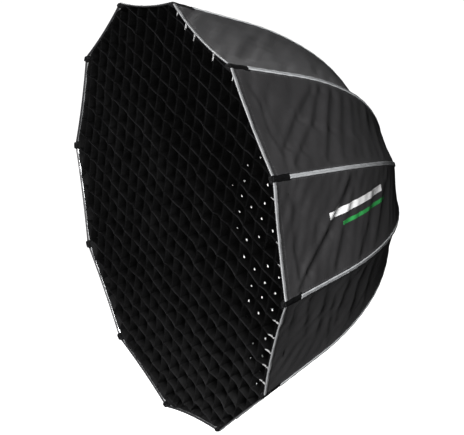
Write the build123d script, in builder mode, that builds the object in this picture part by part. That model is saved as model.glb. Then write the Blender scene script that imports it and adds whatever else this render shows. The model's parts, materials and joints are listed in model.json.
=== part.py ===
from build123d import *
from math import cos, radians, sin
import os

os.makedirs("parts", exist_ok=True)

# A deep softbox on a bayonet speedring: twelve ribs that fold forwards, a fabric gore between each
# two, an egg-crate grid and a front diffuser. The origin is the centre of the face that seats on the
# light. The axis is Y, the opening faces -Y and +Z is up. "Reach" is a distance ahead of the seat
# face, along -Y. Lengths are in mm and angles in degrees.

# ---- Driving dimensions: ribs and canopy ----
RIB_COUNT = 12
RIB_PITCH = 360 / RIB_COUNT
FIRST_RIB = RIB_PITCH / 2         # direction of rib 1, from +X towards +Z
RIM_RADIUS = 600.0                # from the axis to a seam's end at the rim
RIM_SLOPE = 20.2                  # between a seam and the axis, at the rim
MIDDLE_SLOPE = 35.0               # where the seam's two arcs meet
HUB_SLOPE = 66.5                  # at the hub
RIM_RUN = 235.0                   # straight stretch of the seam behind the rim
OUTER_BEND = 930.0                # radius of the arc next to it
INNER_BEND = 590.0                # radius of the arc next to the hub
FABRIC = 1.2                      # thickness of every cloth piece
SEAM_GAP = 0.4                    # from a gore's edge to its rib's plane
ROD_DEPTH = 7.0                   # from the seam in to the rod's centre line
ROD_RADIUS = 3.0

# ---- Driving dimensions: hub ----
BORE_RADIUS = 44.0                # clear hole for the light
RING_BORE = 46.0
RING_RADIUS = 76.0
RING_REAR = 0.8
RING_FRONT = 12.0
PIVOT_RADIUS = 66.0
PIVOT_REACH = 19.0
PIN_RADIUS = 2.0
ARM_LENGTH = 96.0                 # from the pin to the socket's mouth
HUB_FABRIC = 47.0                 # from the pin, along a rib, to the gores' inner edge

# ---- Driving dimensions: front ----
GRID_DEPTH = 48.0
GRID_CELL = 50.0
GRID_TURN = -27.0                 # turn of the cells about the axis
GRID_RECESS = 2.0                 # from the rim's plane back to the grid
DIFFUSER_RECESS = 58.0
CORNER_CUT = 44.0                 # cut from each corner of grid and diffuser, for the pockets


def along(slope):
    """Unit vector of a seam towards the rim, as (radius, reach)."""
    return Vector(sin(radians(slope)), cos(radians(slope)))


def outward(slope):
    """Unit vector square to a seam, away from the axis."""
    return Vector(cos(radians(slope)), -sin(radians(slope)))


# The seam over the pin is the start of the straight run to the arcs. The two arcs and the rim's run
# have fixed lengths, so the run at the hub takes up what is left of the radius.
PIVOT = Vector(PIVOT_RADIUS, PIVOT_REACH)
OVER_PIVOT = PIVOT + outward(HUB_SLOPE) * ROD_DEPTH
ARC_SPAN = (
    along(RIM_SLOPE) * RIM_RUN
    + (outward(RIM_SLOPE) - outward(MIDDLE_SLOPE)) * OUTER_BEND
    + (outward(MIDDLE_SLOPE) - outward(HUB_SLOPE)) * INNER_BEND
)
HUB_RUN = (RIM_RADIUS - ARC_SPAN.X - OVER_PIVOT.X) / along(HUB_SLOPE).X
RIM_REACH = OVER_PIVOT.Y + along(HUB_SLOPE).Y * HUB_RUN + ARC_SPAN.Y


def rib_direction(number):
    return FIRST_RIB + RIB_PITCH * (number - 1)


def rib_plane(direction, shift=0.0):
    """Plane of a rib: its x is the radius and its y is the reach. shift moves it across the rib."""
    turn = radians(direction)
    across = Vector(sin(turn), 0, -cos(turn))
    return Plane(origin=across * shift, x_dir=(cos(turn), 0, sin(turn)), z_dir=across)


def facing_plane(reach):
    """Plane square to the axis, at a reach, with its normal to the front."""
    return Plane(origin=(0, -reach, 0), x_dir=(1, 0, 0), z_dir=(0, -1, 0))


def seam_points(depth, start):
    """Corners and arc middles of the seam moved in by depth, from start (past the pin) to the rim."""
    outer = OUTER_BEND - depth
    inner = INNER_BEND - depth
    hub_end = OVER_PIVOT - outward(HUB_SLOPE) * depth + along(HUB_SLOPE) * start
    hub_bend = OVER_PIVOT - outward(HUB_SLOPE) * depth + along(HUB_SLOPE) * HUB_RUN
    inner_centre = hub_bend - outward(HUB_SLOPE) * inner
    inner_middle = inner_centre + outward((HUB_SLOPE + MIDDLE_SLOPE) / 2) * inner
    arcs_meet = inner_centre + outward(MIDDLE_SLOPE) * inner
    outer_centre = arcs_meet - outward(MIDDLE_SLOPE) * outer
    outer_middle = outer_centre + outward((MIDDLE_SLOPE + RIM_SLOPE) / 2) * outer
    rim_bend = outer_centre + outward(RIM_SLOPE) * outer
    rim_end = rim_bend + along(RIM_SLOPE) * RIM_RUN
    return hub_end, hub_bend, inner_middle, arcs_meet, outer_middle, rim_bend, rim_end


def seam_line(depth, start):
    """Lines and arcs of the seam, inside the builder that calls it."""
    points = [(point.X, point.Y) for point in seam_points(depth, start)]
    hub_end, hub_bend, inner_middle, arcs_meet, outer_middle, rim_bend, rim_end = points
    Line(hub_end, hub_bend)
    ThreePointArc(hub_bend, inner_middle, arcs_meet)
    ThreePointArc(arcs_meet, outer_middle, rim_bend)
    Line(rim_bend, rim_end)
    return hub_end, rim_end


def write(part, name):
    part.label = name
    export_step(part, f"parts/{name}.step")


# ---- Ribs: rod, arm, pocket and gore ----
POCKET_WIDTH = 24.0
POCKET_BACK = 66.0                # from the rim back along the rod
POCKET_AHEAD = 8.0
POCKET_INSIDE = 5.0               # from the rod's centre line in towards the axis
POCKET_OUTSIDE = 8.4
POCKET_CORNER = 5.0
POCKET_CLEARANCE = 0.5


def pocket_plane(direction, behind):
    """Plane across the rod near the rim, centred in the pocket, with its normal towards the tip."""
    rim_end = seam_points(ROD_DEPTH, 0)[-1]
    rise = (POCKET_OUTSIDE - POCKET_INSIDE) / 2
    centre = rim_end + outward(RIM_SLOPE) * rise - along(RIM_SLOPE) * behind
    plane = rib_plane(direction)
    normal = plane.from_local_coords(along(RIM_SLOPE)) - plane.origin
    return Plane(origin=plane.from_local_coords(centre), x_dir=plane.z_dir, z_dir=normal)


def make_rod(number):
    root = 24.0                   # from the pin to the rod's end in its arm
    plane = rib_plane(rib_direction(number))
    with BuildPart() as rod:
        with BuildLine(plane) as path:
            seam_line(ROD_DEPTH, root)
        with BuildSketch(Plane(origin=path.line @ 0, z_dir=path.line % 0)):
            Circle(ROD_RADIUS)
        sweep()
    write(rod.part, f"rib_rod_{number:02d}")


def make_arm(number):
    tongue_half = 4.2
    tongue_end = 24.0
    knuckle_radius = 5.5
    socket_start = 16.0
    socket_radius = 5.0
    bead_radius = 5.4
    bead_length = 6.0
    bore_start = 23.5
    bore_radius = ROD_RADIUS + 0.1
    pin_clearance = 0.05
    plane = rib_plane(rib_direction(number))
    pin_centre = plane.from_local_coords(PIVOT)
    ahead = plane.from_local_coords(along(HUB_SLOPE)) - plane.origin
    tongue_plane = Plane(origin=pin_centre, x_dir=ahead, z_dir=plane.z_dir)

    def across(distance):
        return Plane(origin=pin_centre + ahead * distance, x_dir=plane.z_dir, z_dir=ahead)

    with BuildPart() as arm:
        with BuildSketch(tongue_plane):
            Circle(knuckle_radius)
            with Locations((tongue_end / 2, 0)):
                Rectangle(tongue_end, 2 * tongue_half)
        extrude(amount=tongue_half, both=True)
        with BuildSketch(across(socket_start)):
            Circle(socket_radius)
        extrude(amount=ARM_LENGTH - socket_start)
        with BuildSketch(across(ARM_LENGTH - bead_length)):
            Circle(bead_radius)
        extrude(amount=bead_length)
        with BuildSketch(across(bore_start)):
            Circle(bore_radius)
        extrude(amount=ARM_LENGTH, mode=Mode.SUBTRACT)
        with BuildSketch(tongue_plane):
            Circle(PIN_RADIUS + pin_clearance)
        extrude(amount=2 * tongue_half, both=True, mode=Mode.SUBTRACT)
    write(arm.part, f"rib_arm_{number:02d}")


def make_pocket(number):
    bore_ahead = 2.0              # room past the rod's tip
    bore_radius = ROD_RADIUS + 0.3
    direction = rib_direction(number)
    drop = (POCKET_OUTSIDE - POCKET_INSIDE) / 2
    with BuildPart() as pocket:
        with BuildSketch(pocket_plane(direction, POCKET_BACK)):
            RectangleRounded(POCKET_WIDTH, POCKET_INSIDE + POCKET_OUTSIDE, POCKET_CORNER)
        extrude(amount=POCKET_BACK + POCKET_AHEAD)
        with BuildSketch(pocket_plane(direction, POCKET_BACK)):
            with Locations(rod_spot(direction, drop)):
                Circle(bore_radius)
        extrude(amount=POCKET_BACK + bore_ahead, mode=Mode.SUBTRACT)
    write(pocket.part, f"rod_pocket_{number:02d}")


def rod_spot(direction, drop):
    """Place of the rod's centre line in a pocket plane, which is drop away along that plane's y."""
    plane = pocket_plane(direction, POCKET_BACK)
    turn = radians(direction)
    radial = Vector(cos(turn), 0, sin(turn))
    side = 1 if plane.y_dir.dot(radial) > 0 else -1
    return (0, -side * drop)


def make_gore(number):
    """Gore between a rib and the next: straight across, and curved only along the ribs."""
    first = rib_direction(number)
    second = rib_direction(number + 1)
    grown = 2 * POCKET_CLEARANCE
    with BuildPart() as gore:
        for direction, shift in ((first, -SEAM_GAP), (second, SEAM_GAP)):
            with BuildSketch(rib_plane(direction, shift)):
                with BuildLine():
                    outer_hub, outer_rim = seam_line(0, HUB_FABRIC)
                    inner_hub, inner_rim = seam_line(FABRIC, HUB_FABRIC)
                    Line(outer_hub, inner_hub)
                    Line(outer_rim, inner_rim)
                make_face()
        loft(ruled=True)
        for direction in (first, second):
            with BuildSketch(pocket_plane(direction, POCKET_BACK + POCKET_CLEARANCE)):
                Rectangle(POCKET_WIDTH + grown, POCKET_INSIDE + POCKET_OUTSIDE + grown)
            extrude(amount=POCKET_BACK + POCKET_AHEAD + grown, mode=Mode.SUBTRACT)
    write(gore.part, f"gore_{number:02d}")


for number in range(1, RIB_COUNT + 1):
    make_rod(number)
    make_arm(number)
    make_pocket(number)
    make_gore(number)


# ---- Hub: speedring with its clevises, and the pins ----
CHEEK_GAP = 9.0                   # between a clevis's two cheeks
CHEEK_THICK = 4.0
CHEEK_RADIUS = 7.5
CHEEK_ROOT = 1.0                  # how far a cheek is sunk into the ring
FLANGE_RADIUS = 72.0
FLANGE_FRONT = 4.0
MOUNT_SCREWS = 6
MOUNT_SCREW_CIRCLE = 66.0         # from the axis to a screw's centre
MOUNT_SCREW_SHANK = 2.0           # radius
MOUNT_SCREW_HEAD = 3.8            # radius
MOUNT_SCREW_TIP = 10.5            # reach of a screw's tip
RIVETS = 6
RIVET_CIRCLE = 53.75
RIVET_RADIUS = 1.6
RIVET_TAIL = 8.0                  # reach of a rivet's blind end
HOLE_EASE = 0.1                   # radius of a clearance hole, over its screw's or rivet's
PLATE = 0.8                       # thickness of the detent plate

with BuildPart() as speedring:
    recess_radius = FLANGE_RADIUS + 0.2
    pin_fit = 0.02
    tapped_fit = 0.05
    hole_end = 0.3                # room past a screw's tip
    rivet_hole_end = 0.2
    with BuildSketch(Plane.XY):
        with BuildLine():
            Polyline(
                (RING_BORE, -FLANGE_FRONT),
                (recess_radius, -FLANGE_FRONT),
                (recess_radius, -RING_REAR),
                (RING_RADIUS, -RING_REAR),
                (RING_RADIUS, -RING_FRONT),
                (RING_BORE, -RING_FRONT),
                close=True,
            )
        make_face()
    revolve(axis=Axis.Y)
    for number in range(1, RIB_COUNT + 1):
        for side in (-1, 1):
            offset = side * (CHEEK_GAP + CHEEK_THICK) / 2
            with BuildSketch(rib_plane(rib_direction(number), offset)):
                with Locations((PIVOT_RADIUS, PIVOT_REACH)):
                    Circle(CHEEK_RADIUS)
                foot = RING_FRONT - CHEEK_ROOT
                with Locations((PIVOT_RADIUS, (foot + PIVOT_REACH) / 2)):
                    Rectangle(2 * CHEEK_RADIUS, PIVOT_REACH - foot)
            extrude(amount=CHEEK_THICK / 2, both=True)
    for number in range(1, RIB_COUNT + 1):
        with BuildSketch(rib_plane(rib_direction(number))):
            with Locations((PIVOT_RADIUS, PIVOT_REACH)):
                Circle(PIN_RADIUS + pin_fit)
        extrude(amount=CHEEK_GAP, both=True, mode=Mode.SUBTRACT)
    with BuildSketch(facing_plane(FLANGE_FRONT)):
        with PolarLocations(MOUNT_SCREW_CIRCLE, MOUNT_SCREWS):
            Circle(MOUNT_SCREW_SHANK + tapped_fit)
    extrude(amount=MOUNT_SCREW_TIP + hole_end - FLANGE_FRONT, mode=Mode.SUBTRACT)
    with BuildSketch(facing_plane(RIVET_TAIL - rivet_hole_end)):
        with PolarLocations(RIVET_CIRCLE, RIVETS):
            Circle(RIVET_RADIUS + tapped_fit)
    extrude(amount=RING_FRONT, mode=Mode.SUBTRACT)
write(speedring.part, "speedring")

with BuildPart() as hinge_pins:
    head_radius = 3.2
    head_thick = 1.2
    head_gap = 0.1                # from a cheek to a pin's head
    half = CHEEK_GAP / 2 + CHEEK_THICK + head_gap
    for number in range(1, RIB_COUNT + 1):
        with BuildSketch(rib_plane(rib_direction(number))):
            with Locations((PIVOT_RADIUS, PIVOT_REACH)):
                Circle(PIN_RADIUS)
        extrude(amount=half, both=True)
        for side in (-1, 1):
            with BuildSketch(rib_plane(rib_direction(number), side * (half + head_thick / 2))):
                with Locations((PIVOT_RADIUS, PIVOT_REACH)):
                    Circle(head_radius)
            extrude(amount=head_thick / 2, both=True)
write(hinge_pins.part, "hinge_pins")

# The plate's fingers lie under the arms' knuckles and snap them into the open place.
with BuildPart() as detent_plate:
    plate_inner = 50.0
    plate_outer = 57.5
    finger_width = 7.0
    finger_root = plate_outer - 1     # a finger starts inside the plate's edge
    with BuildSketch(facing_plane(RING_FRONT)):
        Circle(plate_outer)
        Circle(plate_inner, mode=Mode.SUBTRACT)
        with PolarLocations((finger_root + PIVOT_RADIUS) / 2, RIB_COUNT, start_angle=FIRST_RIB):
            Rectangle(PIVOT_RADIUS - finger_root, finger_width)
        with PolarLocations(RIVET_CIRCLE, RIVETS):
            Circle(RIVET_RADIUS + HOLE_EASE, mode=Mode.SUBTRACT)
    extrude(amount=PLATE)
write(detent_plate.part, "detent_plate")

with BuildPart() as detent_rivets:
    rivet_head_radius = 2.8
    rivet_head = 1.0
    with BuildSketch(facing_plane(RIVET_TAIL)):
        with PolarLocations(RIVET_CIRCLE, RIVETS):
            Circle(RIVET_RADIUS)
    extrude(amount=RING_FRONT + PLATE - RIVET_TAIL)
    with BuildSketch(facing_plane(RING_FRONT + PLATE)):
        with PolarLocations(RIVET_CIRCLE, RIVETS):
            Circle(rivet_head_radius)
    extrude(amount=rivet_head)
write(detent_rivets.part, "detent_rivets")

# ---- Hub: bayonet ring, which goes into the light, and its screws ----
with BuildPart() as bayonet_ring:
    collar_radius = 48.5
    collar_back = 9.0             # how far the collar stands behind the seat
    seat_inner = 55.0
    seat_outer = 60.0
    lug_count = 3
    lug_root = collar_radius - 1  # a lug starts inside the collar's wall
    lug_radius = 54.0
    lug_near = 5.5                # from the seat to a lug's near face
    lug_thick = 2.5
    lug_angle = 24.0
    with BuildSketch(Plane.XY):
        with BuildLine():
            Polyline(
                (BORE_RADIUS, -FLANGE_FRONT),
                (FLANGE_RADIUS, -FLANGE_FRONT),
                (FLANGE_RADIUS, -RING_REAR),
                (seat_outer, -RING_REAR),
                (seat_outer, 0),
                (seat_inner, 0),
                (seat_inner, -RING_REAR),
                (collar_radius, -RING_REAR),
                (collar_radius, collar_back),
                (BORE_RADIUS, collar_back),
                close=True,
            )
        make_face()
    revolve(axis=Axis.Y)
    for lug in range(lug_count):
        start = 90 + 360 / lug_count * lug - lug_angle / 2
        with BuildSketch(Plane.XY.rotated((0, -start, 0))):
            with Locations(((lug_root + lug_radius) / 2, lug_near + lug_thick / 2)):
                Rectangle(lug_radius - lug_root, lug_thick)
        revolve(axis=Axis.Y, revolution_arc=-lug_angle)
    with BuildSketch(facing_plane(RING_REAR)):
        with PolarLocations(MOUNT_SCREW_CIRCLE, MOUNT_SCREWS):
            Circle(MOUNT_SCREW_SHANK + HOLE_EASE)
    extrude(amount=FLANGE_FRONT, mode=Mode.SUBTRACT)
    with Locations(Plane(origin=(0, -RING_REAR, 0), x_dir=(1, 0, 0), z_dir=(0, 1, 0))):
        with PolarLocations(MOUNT_SCREW_CIRCLE, MOUNT_SCREWS):
            CounterSinkHole(
                MOUNT_SCREW_SHANK + HOLE_EASE, MOUNT_SCREW_HEAD + HOLE_EASE, depth=FLANGE_FRONT
            )
write(bayonet_ring.part, "bayonet_ring")

with BuildPart() as mount_screws:
    head_sink = 0.1               # how far a head lies below the flange's face
    head_height = MOUNT_SCREW_HEAD - MOUNT_SCREW_SHANK
    head_reach = RING_REAR + head_sink
    key_radius = 1.3              # from the socket's centre to its corners
    key_depth = 1.2
    with BuildSketch(facing_plane(head_reach)):
        with PolarLocations(MOUNT_SCREW_CIRCLE, MOUNT_SCREWS):
            Circle(MOUNT_SCREW_SHANK)
    extrude(amount=MOUNT_SCREW_TIP - head_reach)
    with Locations(facing_plane(head_reach + head_height / 2)):
        with PolarLocations(MOUNT_SCREW_CIRCLE, MOUNT_SCREWS):
            Cone(MOUNT_SCREW_HEAD, MOUNT_SCREW_SHANK, head_height)
    with BuildSketch(facing_plane(head_reach)):
        with PolarLocations(MOUNT_SCREW_CIRCLE, MOUNT_SCREWS):
            RegularPolygon(key_radius, side_count=6)
    extrude(amount=key_depth, mode=Mode.SUBTRACT)
write(mount_screws.part, "mount_screws")

# ---- Rear collar: a cloth cone that wraps the speedring and laps the gores' inner edges ----
with BuildPart() as rear_collar:
    collar_gap = 0.3              # to the speedring
    lap_gap = 1.0                 # to the gores
    lap_end = 57.6                # from the seam over the pin, along a rib
    collar_rear = 2.0
    inner_side = OVER_PIVOT + outward(HUB_SLOPE) * lap_gap
    outer_side = inner_side + outward(HUB_SLOPE) * FABRIC
    inner_wrap = RING_RADIUS + collar_gap
    outer_wrap = inner_wrap + FABRIC
    inner_turn = inner_side + along(HUB_SLOPE) * ((inner_wrap - inner_side.X) / along(HUB_SLOPE).X)
    outer_turn = outer_side + along(HUB_SLOPE) * ((outer_wrap - outer_side.X) / along(HUB_SLOPE).X)
    inner_lip = inner_side + along(HUB_SLOPE) * lap_end
    outer_lip = outer_side + along(HUB_SLOPE) * lap_end
    with BuildSketch(rib_plane(0)):
        with BuildLine():
            Polyline(
                (inner_wrap, collar_rear),
                (outer_wrap, collar_rear),
                outer_turn,
                outer_lip,
                inner_lip,
                inner_turn,
                close=True,
            )
        make_face()
    revolve(axis=Axis.Y)
write(rear_collar.part, "rear_collar")


# ---- Front: diffuser and grid ----
def opening_radius(recess):
    """Corner radius of a dodecagon that just clears the gores at a recess behind the rim."""
    clearance = 0.8
    seam_radius = RIM_RADIUS - recess * sin(radians(RIM_SLOPE)) / cos(radians(RIM_SLOPE))
    inset = (FABRIC / cos(radians(RIM_SLOPE)) + clearance) / cos(radians(RIB_PITCH / 2))
    return seam_radius - inset


with BuildPart() as front_diffuser:
    with BuildSketch(facing_plane(RIM_REACH - DIFFUSER_RECESS)) as panel:
        RegularPolygon(opening_radius(DIFFUSER_RECESS), RIB_COUNT, rotation=FIRST_RIB)
        chamfer(panel.vertices(), CORNER_CUT)
    extrude(amount=FABRIC)
write(front_diffuser.part, "front_diffuser")

grid_back = GRID_RECESS + GRID_DEPTH
grid_radius = opening_radius(grid_back)
grid_hem = 2.0
grid_rows = 24
with BuildSketch() as grid_cells:
    with Locations(Location((0, 0, 0), (0, 0, GRID_TURN))):
        with GridLocations(GRID_CELL, GRID_CELL, grid_rows, grid_rows):
            Rectangle(GRID_CELL - FABRIC, GRID_CELL - FABRIC)
with BuildSketch() as grid_inside:
    RegularPolygon(grid_radius - grid_hem, RIB_COUNT, rotation=FIRST_RIB)
    chamfer(grid_inside.vertices(), CORNER_CUT)
    add(grid_cells.sketch, mode=Mode.INTERSECT)
with BuildPart() as grid:
    with BuildSketch(facing_plane(RIM_REACH - grid_back)) as outline:
        RegularPolygon(grid_radius, RIB_COUNT, rotation=FIRST_RIB)
        chamfer(outline.vertices(), CORNER_CUT)
        add(grid_inside.sketch, mode=Mode.SUBTRACT)
    extrude(amount=GRID_DEPTH)
write(grid.part, "grid")
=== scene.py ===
import json
import math

import bpy
import numpy as np
from mathutils import Matrix, Vector
from mathutils.bvhtree import BVHTree

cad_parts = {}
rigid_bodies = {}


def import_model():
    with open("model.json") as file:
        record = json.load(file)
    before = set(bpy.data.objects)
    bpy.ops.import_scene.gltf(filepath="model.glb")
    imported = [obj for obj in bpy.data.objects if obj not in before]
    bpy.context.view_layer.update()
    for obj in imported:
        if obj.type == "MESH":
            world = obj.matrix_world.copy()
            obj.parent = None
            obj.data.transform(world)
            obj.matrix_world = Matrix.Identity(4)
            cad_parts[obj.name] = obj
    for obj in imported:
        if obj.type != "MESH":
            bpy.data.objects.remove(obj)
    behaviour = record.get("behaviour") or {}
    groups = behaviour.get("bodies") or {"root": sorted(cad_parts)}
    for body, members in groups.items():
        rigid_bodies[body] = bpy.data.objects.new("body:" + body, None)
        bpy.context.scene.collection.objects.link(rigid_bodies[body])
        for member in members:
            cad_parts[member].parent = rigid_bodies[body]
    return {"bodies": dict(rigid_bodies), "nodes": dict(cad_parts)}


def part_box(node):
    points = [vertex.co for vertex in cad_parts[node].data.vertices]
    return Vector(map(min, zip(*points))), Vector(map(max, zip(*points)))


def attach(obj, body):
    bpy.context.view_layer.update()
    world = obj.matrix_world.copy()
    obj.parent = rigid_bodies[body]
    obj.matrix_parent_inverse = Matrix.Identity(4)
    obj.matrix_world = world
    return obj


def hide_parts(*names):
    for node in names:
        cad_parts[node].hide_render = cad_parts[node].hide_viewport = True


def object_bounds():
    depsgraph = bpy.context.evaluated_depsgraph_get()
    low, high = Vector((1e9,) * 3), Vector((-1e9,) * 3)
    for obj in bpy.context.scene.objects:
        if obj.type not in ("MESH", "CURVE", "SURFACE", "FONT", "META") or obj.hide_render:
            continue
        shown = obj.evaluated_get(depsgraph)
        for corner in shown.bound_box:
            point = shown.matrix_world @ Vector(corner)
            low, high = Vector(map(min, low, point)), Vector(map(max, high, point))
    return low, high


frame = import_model()
cad_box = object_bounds()

# A deep softbox of twelve ribs. The axis is Y and the opening faces -Y. Lengths are in metres and
# angles in radians. "Reach" is a distance ahead of the hub's seat face, along -Y.
MM = 0.001
RIBS = 12
PITCH = math.tau / RIBS
FIRST_RIB = PITCH / 2              # direction of rib 1, from +X towards +Z
RIB_BODIES = [f"rib_{number:02d}" for number in range(1, RIBS + 1)]
HUB_BODY = "speedring"

# ---- The seam over a rib: straight, two arcs, straight ----
RIM_SLOPE = math.radians(20.2)     # between the seam and the axis, at the rim
MIDDLE_SLOPE = math.radians(35.0)
HUB_SLOPE = math.radians(66.5)
RIM_RUN = 235 * MM
OUTER_BEND = 930 * MM
INNER_BEND = 590 * MM
RIM_RADIUS = 600 * MM
RIM_REACH = -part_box("gore_01")[0].y
ROD_DEPTH = 7 * MM                 # from the seam in to the rod's centre line
inner_arc = INNER_BEND * (HUB_SLOPE - MIDDLE_SLOPE)
outer_arc = OUTER_BEND * (MIDDLE_SLOPE - RIM_SLOPE)


def seam(distance):
    """Radius, reach and slope of the seam, at distances back along it from the rim."""
    distance = np.asarray(distance, float)
    straight = np.minimum(distance, RIM_RUN)
    bent_out = np.clip(distance - RIM_RUN, 0, outer_arc)
    bent_in = np.clip(distance - RIM_RUN - outer_arc, 0, inner_arc)
    last = np.maximum(distance - RIM_RUN - outer_arc - inner_arc, 0)
    first_slope = RIM_SLOPE + bent_out / OUTER_BEND
    slope = first_slope + bent_in / INNER_BEND
    radius = RIM_RADIUS - straight * math.sin(RIM_SLOPE) - last * math.sin(HUB_SLOPE)
    radius -= OUTER_BEND * (math.cos(RIM_SLOPE) - np.cos(first_slope))
    radius -= INNER_BEND * (np.cos(first_slope) - np.cos(slope))
    reach = RIM_REACH - straight * math.cos(RIM_SLOPE) - last * math.cos(HUB_SLOPE)
    reach -= OUTER_BEND * (np.sin(first_slope) - math.sin(RIM_SLOPE))
    reach -= INNER_BEND * (np.sin(slope) - np.sin(first_slope))
    return radius, reach, slope


def rib_angle(number):
    return FIRST_RIB + PITCH * (number - 1)


def placed(radius, reach, angle):
    """Points at a radius, a reach and a direction round the axis."""
    radius, reach, angle = np.broadcast_arrays(radius, reach, angle)
    return np.stack([radius * np.cos(angle), -reach, radius * np.sin(angle)], axis=-1)


def outward(slope, angle):
    """Unit vectors square to a seam of that slope, away from the axis."""
    slope, angle = np.broadcast_arrays(slope, angle)
    parts = [np.cos(slope) * np.cos(angle), np.sin(slope), np.cos(slope) * np.sin(angle)]
    return np.stack(parts, axis=-1)


def ease(value):
    """0 below 0, 1 above 1, and smooth between."""
    value = np.clip(value, 0, 1)
    return value * value * (3 - 2 * value)


# ---- Camera ----
CAMERA_LENS = 120.6                # in millimetres, on a sensor 36 mm wide
CAMERA_AIM = Vector((0, -0.4946, -0.0402))
CAMERA_DISTANCE = 4.331
CAMERA_AZIMUTH = math.radians(61.4)
CAMERA_ELEVATION = math.radians(10.68)
CAMERA_ROLL = math.radians(-5.96)


def make_camera():
    """The camera looks at the rim from the front and one side."""
    data = bpy.data.cameras.new("camera")
    data.lens = CAMERA_LENS
    data.sensor_width = 36
    camera = bpy.data.objects.new("camera", data)
    bpy.context.scene.collection.objects.link(camera)
    level = math.cos(CAMERA_ELEVATION)
    side, ahead = math.sin(CAMERA_AZIMUTH) * level, -math.cos(CAMERA_AZIMUTH) * level
    back = Vector((side, ahead, math.sin(CAMERA_ELEVATION)))
    facing = (-back).to_track_quat("-Z", "Y").to_matrix() @ Matrix.Rotation(CAMERA_ROLL, 3, "Z")
    place = Matrix.Translation(CAMERA_AIM + back * CAMERA_DISTANCE)
    camera.matrix_world = place @ facing.to_4x4()
    data.clip_start, data.clip_end = 0.1, 200
    bpy.context.scene.camera = camera


# ---- Meshes ----
def pair(first, second):
    """Two arrays of the same grid, or that broadcast to it, as one map."""
    return np.stack(np.broadcast_arrays(first, second), axis=-1)


def build(name, points, quads, maps, kind, angle=40):
    """A mesh object from points, quads and per-point maps. Faces that meet sharply get a crease."""
    used, quads = np.unique(quads, return_inverse=True)
    quads = quads.reshape(-1, 4)
    points = points[used]
    mesh = bpy.data.meshes.new(name)
    mesh.vertices.add(len(points))
    mesh.vertices.foreach_set("co", points.astype(np.float32).ravel())
    mesh.loops.add(quads.size)
    mesh.loops.foreach_set("vertex_index", quads.ravel().astype(np.int32))
    mesh.polygons.add(len(quads))
    mesh.polygons.foreach_set("loop_start", np.arange(0, quads.size, 4, dtype=np.int32))
    mesh.update(calc_edges=True)
    for label, values in maps.items():
        layer = mesh.uv_layers.new(name=label)
        layer.data.foreach_set("uv", values[used][quads.ravel()].astype(np.float32).ravel())
    mesh.validate()
    mesh.shade_smooth()
    mesh.set_sharp_from_angle(angle=math.radians(angle))
    mesh.materials.append(materials[kind])
    made = bpy.data.objects.new(name, mesh)
    bpy.context.scene.collection.objects.link(made)
    return made, used


def normals(points, wrap=False):
    """Unit normals of a grid of points; wrap where its last row meets its first."""
    padded = np.concatenate([points[-1:], points, points[:1]]) if wrap else points
    down = np.gradient(padded, axis=0)
    if wrap:
        down = down[1:-1]
    across = np.gradient(points, axis=1)
    square = np.cross(down, across)
    return square / np.maximum(np.linalg.norm(square, axis=-1, keepdims=True), 1e-12)


def shell(points, thick, maps, present=None, wrap=False, flip=False):
    """Points, quads and maps of a closed sheet. Its other face lies thick behind the points."""
    rows, columns = points.shape[:2]
    side = -1 if flip else 1
    behind = points - side * normals(points, wrap) * thick
    index = np.arange(rows * columns).reshape(rows, columns)
    if wrap:
        index = np.concatenate([index, index[:1]])
    if present is None:
        present = np.ones((index.shape[0] - 1, columns - 1), bool)
    a, b = index[:-1, :-1], index[1:, :-1]
    c, d = index[1:, 1:], index[:-1, 1:]
    front = np.stack([a, b, c, d], axis=-1)
    back = front[..., ::-1] + rows * columns
    around = np.pad(present, 1)
    if wrap:
        around[0, 1:-1], around[-1, 1:-1] = present[-1], present[0]
    walls = []
    for start, end, beyond in (
        (a, b, around[1:-1, :-2]),
        (b, c, around[2:, 1:-1]),
        (c, d, around[1:-1, 2:]),
        (d, a, around[:-2, 1:-1]),
    ):
        edge = present & ~beyond
        start, end = start[edge], end[edge]
        walls.append(np.stack([end, start, start + rows * columns, end + rows * columns], -1))
    quads = np.concatenate([front[present], back[present], *walls])
    if flip:
        quads = quads[:, ::-1]
    both = np.concatenate([points.reshape(-1, 3), behind.reshape(-1, 3)])
    doubled = {k: np.concatenate([v.reshape(-1, 2)] * 2) for k, v in maps.items()}
    return both, quads, doubled


def joined(parts):
    """Several (points, quads, maps) as one."""
    points, quads, count = [], [], 0
    for part in parts:
        points.append(part[0])
        quads.append(part[1] + count)
        count += len(part[0])
    maps = {k: np.concatenate([part[2][k] for part in parts]) for k in parts[0][2]}
    return np.concatenate(points), np.concatenate(quads), maps


# ---- Cloth that follows several bodies, through an armature with a bone for each ----
rigs = {}


def rig(body):
    """The armature on a body. Its bones follow the ribs and the hub, seen from that body or, on the
    front pieces, added to that body's own travel."""
    if body in rigs:
        return rigs[body]
    data = bpy.data.armatures.new("rig_" + body)
    made = bpy.data.objects.new("rig_" + body, data)
    bpy.context.scene.collection.objects.link(made)
    bpy.context.view_layer.objects.active = made
    bpy.ops.object.mode_set(mode="EDIT")
    for name in [*RIB_BODIES, HUB_BODY]:
        bone = data.edit_bones.new(name)
        bone.head, bone.tail = (0, 0, 0), (0, 1, 0)
        bone.roll = 0
    bpy.ops.object.mode_set(mode="OBJECT")
    made.parent = frame["bodies"][body]
    for name in [*RIB_BODIES, HUB_BODY]:
        follow = made.pose.bones[name].constraints.new("COPY_TRANSFORMS")
        follow.target = frame["bodies"][name]
        follow.target_space = "WORLD"
        follow.owner_space = "WORLD" if body in RIB_BODIES else "POSE"
    made.hide_render = True
    rigs[body] = made
    return made


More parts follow.
